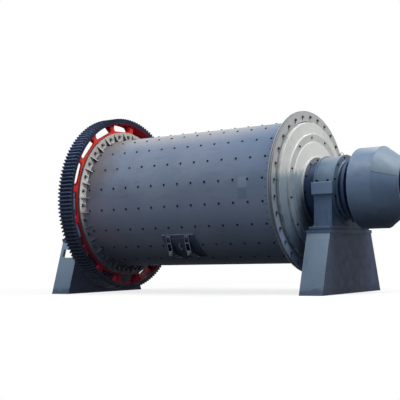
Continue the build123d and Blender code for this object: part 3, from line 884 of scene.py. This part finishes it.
def feeder_finish():
    """Machine enamel, with one paler plate above the seam of the cone."""
    finish = Finish("feeder_enamel")
    colour = finish.enamel((106, 128, 156), (94, 115, 143), (70, 82, 104), (0.6, 1.2, 1.0))
    # Painted shade over the upper side of the drum
    shoulder_shade = finish.times(finish.level(0.12, 0.30, 0.0, 0.55),
                            finish.fade(finish.x, cone_low.x - 0.010, cone_low.x - 0.002))
    colour = finish.mix(shoulder_shade, colour, srgb(84, 106, 130))
    # Dust with a painted sheen along the top of the drum
    dust_and_sheen = finish.times(finish.level(0.46, 0.53, 0.0, 0.7),
                           finish.between(finish.x, feeder_drum_low.x, feeder_drum_high.x, 0.2, 1.0))
    colour = finish.mix(dust_and_sheen, colour, srgb(160, 164, 168))
    fresh = finish.enamel((118, 136, 152), (108, 126, 142), (88, 102, 118), (0.6, 1.2, 1.0))
    turn = finish.turn()
    above = finish.between(turn, math.radians(seam_angle - 0.1), math.radians(seam_angle + 0.4))
    below = finish.fade(turn, math.radians(plate_end_angle), math.radians(plate_end_angle + 1))
    plate = finish.times(above, below)
    plate = finish.times(plate, finish.between(finish.x, cone_low.x - 0.004, cone_low.x + 0.004))
    colour = finish.mix(plate, colour, fresh)
    seam = finish.off(turn, math.radians(seam_angle))
    seam = finish.fade(seam, math.radians(0.45), math.radians(0.8), 0.85)
    seam = finish.times(seam, finish.between(finish.x, cone_low.x, cone_low.x + 0.004))
    colour = finish.mix(seam, colour, srgb(44, 54, 68))
    # Painted shade along the underside
    underside_shade = finish.level(-0.52, -0.18, 0.68, 0.0)
    colour = finish.mix(underside_shade, colour, srgb(34, 38, 54))
    finish.paint(colour)
    finish.roughen(0.40, 0.6, dirt=finish.level(-0.50, -0.15, 0.95, 0.4))
    finish.bump(finish.noise(5, 4), 0.10, 0.008)
    return finish.material


def clamp_finish():
    """Dark enamel on the clamps' cheeks as painted shade, pale thin edges, tie and handle as painted
    highlight, and darker at the bottom as painted shade.
    """
    finish = Finish("clamp_enamel", gloss=0.12)
    dark = finish.enamel((46, 54, 74), (36, 43, 60), (24, 28, 40))
    pale = finish.enamel((150, 157, 172), (128, 136, 152), (82, 90, 108))
    # Painted shade at the bottom of the clamps
    pale = finish.mix(finish.level(-0.94, -0.89, 0.85, 0.0), pale, srgb(34, 38, 50))
    side = None
    for end in ("drive", "feed"):
        off = finish.off_middle("manhole_clamp_" + end + "_side")
        off = finish.off(off, clamp_cheek_reach)
        off = finish.off(off, clamp_cheek_half)
        broad = finish.fade(off, 0.0004, 0.0006)
        side = broad if side is None else finish.larger(side, broad)
    finish.paint(finish.mix(side, pale, dark))
    finish.grain()
    return finish.material


def manhole_finish():
    """The drum's enamel on frame and door, with one pale edge along the top of the frame."""
    finish = Finish("manhole_enamel", gloss=0.07)
    colour = finish.enamel((92, 103, 124), (78, 89, 110), (52, 60, 76), (0.5, 1.6, 1.6))
    top = math.radians(manhole_angle + manhole_frame_half_angle)
    edge = finish.between(finish.turn(), top - math.radians(0.30), top - math.radians(0.15))
    # Painted shade along the underside
    underside_shade = finish.level(-0.96, -0.62, 0.66, 0.0)
    colour = finish.mix(underside_shade, colour, srgb(36, 35, 50))
    finish.paint(finish.mix(edge, colour, srgb(164, 170, 184)))
    finish.grain(dirt=finish.level(-0.95, -0.60, 0.95, 0.42))
    return finish.material


def metal_finish(name, light, dark, roughness):
    """Bare metal with a cloudy tone."""
    finish = Finish(name, metallic=0.85, roughness=roughness, gloss=0.5)
    cloud = finish.between(finish.noise(12, 4), 0.35, 0.65)
    finish.paint(finish.mix(cloud, srgb(*dark), srgb(*light)))
    finish.roughen(roughness - 0.08, roughness + 0.12)
    finish.bump(finish.noise(60, 2), 0.06, 0.002)
    return finish.material


def make_finishes():
    return {
        "mill_paint": shell_finish(),
        "dusty_paint": flange_finish("drive_flange_enamel", srgb(96, 88, 92), drive_flange_face_x),
        "head_paint": head_finish(),
        "gear_casting": gear_finish(),
        "trunnion_steel": neck_finish(),
        "liner_steel": metal_finish("sleeve_steel", (74, 76, 80), (48, 50, 56), 0.5),
        "bearing_bronze": metal_finish("bearing_bronze", (168, 132, 74), (132, 98, 52), 0.35),
        "stand_paint": bearing_finish(),
        "pedestal_paint": pedestal_finish(),
        "feeder_paint": feeder_finish(),
        "clamp_steel": clamp_finish(),
    }


def dress_nodes(finishes):
    """Give each node the finish of its own, or else that of its material slot."""
    flange = flange_finish("feed_flange_enamel", srgb(98, 103, 110), feed_flange_back_x)
    own = {"feed_shell_flange": flange, "drive_flange_gussets": gusset_finish()}
    own["manhole_frame"] = own["manhole_door"] = manhole_finish()
    neck = machine_finish("feeder_neck_enamel", (62, 82, 114), (50, 68, 98), (34, 42, 60),
                          gloss=0.12)
    own["feeder_neck"] = own["feeder_back_plate"] = neck
    for sub_part in frame["record"]["subparts"]:
        name = sub_part["node"]
        node = nodes[name]
        node.data.materials.clear()
        node.data.materials.append(own.get(name) or finishes[sub_part["material_slot"]])


# Fasteners


def make_bolt(across, height, washer=None, stud=None):
    """A hexagon nut or head standing on z = 0, on a washer, with the stud's end above it."""
    corner_reach = across / math.sqrt(3)
    washer_height = 0.0
    parts = []
    if washer:
        washer_radius, washer_height = washer
        bpy.ops.mesh.primitive_cylinder_add(vertices=16, radius=washer_radius, depth=washer_height,
                                            location=(0, 0, washer_height / 2))
        disc = bpy.context.object
        bevel(disc, washer_height * 0.3, 1)
        parts.append(disc)
    bpy.ops.mesh.primitive_cylinder_add(vertices=6, radius=corner_reach, depth=height,
                                        location=(0, 0, washer_height + height / 2))
    nut = bpy.context.object
    settle(nut)
    top = washer_height + height
    near_top = top - height * 0.1
    edit_faces(nut, lambda centre, normal: centre.z > near_top)
    bpy.ops.mesh.inset(thickness=across * 0.08, depth=0)
    leave_edit()
    # The six outer corners of the top are lowered, which makes its chamfer
    for corner in nut.data.vertices:
        if corner.co.z > near_top and math.hypot(corner.co.x, corner.co.y) > corner_reach * 0.96:
            corner.co.z -= height * 0.12
    parts.insert(0, nut)
    if stud:
        stud_radius, stud_height = stud
        bpy.ops.mesh.primitive_cylinder_add(vertices=10, radius=stud_radius, depth=stud_height,
                                            location=(0, 0, top + stud_height / 2))
        end = bpy.context.object
        bevel(end, stud_radius * 0.22, 1)
        parts.append(end)
    return weld(parts, "bolt_model")


def fasten_drum(black):
    """Liner bolts through the drum, none under the manhole, and a ring of small ones at its end."""
    model = make_bolt(across=0.027, height=0.009, washer=(0.0165, 0.002))
    places = []
    manhole_x = feed_joint_x - manhole_from_joint
    for column in range(liner_columns):
        x = feed_joint_x - first_liner_from_joint - liner_pitch * column
        for angle in circle_of(liner_rows, liner_row_phase):
            turned_away = abs((angle - manhole_angle + 180) % 360 - 180)
            if abs(x - manhole_x) > liner_free_length or turned_away > liner_free_angle:
                places.append(on_drum(x, shell_radius - bolt_sunk, angle))
    spread(model, "liner_bolts", places, black, "mill")
    discard(model)

    model = make_bolt(across=0.013, height=0.006)
    stud_x = feed_joint_x - stud_from_joint
    places = [on_drum(stud_x, shell_radius - bolt_sunk, angle)
              for angle in circle_of(stud_count, stud_phase)]
    spread(model, "end_ring_studs", places, black, "mill")
    discard(model)


def fasten_heads(black):
    """Bolts that hold the heads and the gear."""
    model = make_bolt(across=0.036, height=feed_nut_height,
                      washer=(0.021, nut_washer), stud=(0.010, 0.012))
    places = ring_on_face(feed_head_face_x, head_circle, head_count, head_phase, 1)
    nuts = nut_finish("feed_nut_steel", feed_head_face_x, nut_washer, feed_nut_height)
    spread(model, "feed_head_bolts", places, nuts, "mill")
    discard(model)
    model = make_bolt(across=0.043, height=drive_nut_height,
                      washer=(0.027, nut_washer), stud=(0.013, 0.018))
    places = ring_on_face(drive_flange_face_x, drive_circle, head_count, drive_nut_phase, 1, 10)
    nuts = nut_finish("drive_nut_steel", drive_flange_face_x, nut_washer, drive_nut_height)
    spread(model, "drive_flange_nuts", places, nuts, "mill")
    places = ring_on_face(drive_head_face_x, drive_circle, head_count, drive_nut_phase, -1)
    spread(model, "drive_head_bolts", places, black, "mill")
    discard(model)


def fasten_small(black):
    """Smaller bolts on the heads, trunnions and covers."""
    model = make_bolt(across=0.024, height=0.012, washer=(0.015, 0.003), stud=(0.007, 0.005))
    step_x = feed_head_face_x + feed_head_rise * step_top_share
    places = ring_on_face(step_x, step_circle, small_count, step_phase, 1)
    spread(model, "feed_head_step_bolts", places, black, "mill")
    step_x = drive_head_face_x - drive_head_rise * step_top_share
    places = ring_on_face(step_x, step_circle, small_count, step_phase, -1)
    spread(model, "drive_head_step_bolts", places, black, "mill")
    seat_x = feed_head_face_x + feed_head_rise + seat_thickness
    places = ring_on_face(seat_x, seat_circle, small_count, seat_phase, 1)
    seat_x = drive_head_face_x - drive_head_rise - seat_thickness
    places += ring_on_face(seat_x, seat_circle, small_count, seat_phase, -1)
    spread(model, "trunnion_flange_bolts", places, black, "mill")
    face_x = trunnion_end_x + feeder_flange
    places = ring_on_face(face_x, feeder_circle, feeder_count, feeder_phase, 1)
    face_x = trunnion_end_x - trunnion_end
    places += ring_on_face(face_x, feeder_circle, feeder_count, feeder_phase, -1)
    spread(model, "feeder_flange_bolts", places, black, "mill")
    for end in ("feed", "drive"):
        places = []
        middle = middle_x(end + "_bearing_cap")
        for outward in (-1, 1):
            face_x = middle + outward * (cover_seat + cover_thickness)
            places += ring_on_face(face_x, cover_circle, small_count, cover_phase, outward)
        spread(model, end + "_cover_bolts", places, black, "stand")
    discard(model)


def fasten_manhole():
    """The nuts that pull the manhole's bridges down."""
    worn = machine_finish("clamp_nut_steel", (122, 128, 142), (98, 104, 119), (58, 64, 80))
    model = make_bolt(across=0.046, height=0.030, washer=(0.030, 0.005), stud=(0.014, 0.022))
    for side in ("drive_side", "feed_side"):
        place = on_drum(middle_x("manhole_clamp_" + side), shell_radius + clamp_crown, manhole_angle)
        spread(model, "manhole_nut_" + side, [place], worn, "mill")
    discard(model)


def fasten_bearings(black, painted):
    """Cap nuts on the lugs and holding-down bolts in the feet."""
    model = make_bolt(across=0.032, height=0.020, washer=(0.020, 0.004), stud=(0.010, 0.009))
    for end in ("feed", "drive"):
        middle = middle_x(end + "_bearing_cap")
        cap_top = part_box(end + "_bearing_cap")[0].z + cap_lug_height
        places = corners(middle, cap_nut_along, cap_nut_across, cap_top)
        spread(model, end + "_cap_nuts", places, black, "stand")
        places = corners(middle, foot_bolt_along, foot_bolt_across, foot_top_z)
        spread(model, end + "_foot_bolts", places, painted, "stand")
    discard(model)


# Weld beads and small pieces


def make_bead(name, x, radius, thickness, material):
    """A weld bead right round the axis, with the ripple of its runs."""
    bpy.ops.mesh.primitive_torus_add(major_radius=radius, minor_radius=thickness,
                                     major_segments=240, minor_segments=8,
                                     location=(x, 0, axis_z), rotation=(0, quarter, 0))
    bead = bpy.context.object
    settle(bead)
    for corner in bead.data.vertices:
        turn = math.atan2(corner.co.z - axis_z, corner.co.y)
        swell = 1 + 0.0009 * math.sin(turn * 97) + 0.0006 * math.sin(turn * 41 + 1.3)
        corner.co.y *= swell
        corner.co.z = axis_z + (corner.co.z - axis_z) * swell
    soften(bead, 60)
    finish_piece(bead, name, material, "mill")


def make_beads(finishes):
    """The beads at the shell's flanges, and those at both ends of the feeder's cone."""
    beads = (
        ("feed_flange_weld", feed_flange_back_x, shell_radius, flange_bead, "mill_paint"),
        ("drive_flange_weld", drive_flange_face_x, shell_radius, flange_bead, "dusty_paint"),
        ("feeder_seam_weld", cone_low.x, feeder_radius - 0.003, seam_bead, "feeder_paint"),
        ("feeder_mouth_weld", cone_high.x, mouth_radius - 0.001, mouth_bead, "feeder_paint"),
    )
    for name, x, radius, thickness, slot in beads:
        make_bead(name, x, radius, thickness, finishes[slot])


def make_lifting_eye(material):
    """The small ring bolt on the rim of the feed head."""
    bpy.ops.mesh.primitive_torus_add(major_radius=0.024, minor_radius=0.006,
                                     major_segments=28, minor_segments=10)
    eye = bpy.context.object
    eye.location = (0, 0, eye_rise)
    eye.rotation_euler = (quarter, 0, 0)
    settle(eye)
    bpy.ops.mesh.primitive_cylinder_add(vertices=14, radius=0.018, depth=eye_collar,
                                        location=(0, 0, eye_collar / 2))
    collar = bpy.context.object
    bevel(collar, 0.004, 2)
    model = weld([collar, eye], "eye_model")
    place = on_face(feed_head_face_x, eye_circle, eye_angle, 1)
    spread(model, "lifting_eye", [place], material, "mill")
    discard(model)


bpy.context.scene.view_settings.view_transform = "Standard"
set_camera()
set_light()
make_floor()
finishes = make_finishes()
dress_nodes(finishes)
black = machine_finish("bolt_black", (26, 31, 48), (18, 22, 36), (12, 14, 24),
                       rough=(0.7, 0.9), gloss=0.06)
fasten_drum(black)
fasten_heads(black)
fasten_small(black)
fasten_manhole()
fasten_bearings(black, finishes["stand_paint"])
make_beads(finishes)
make_lifting_eye(finishes["head_paint"])
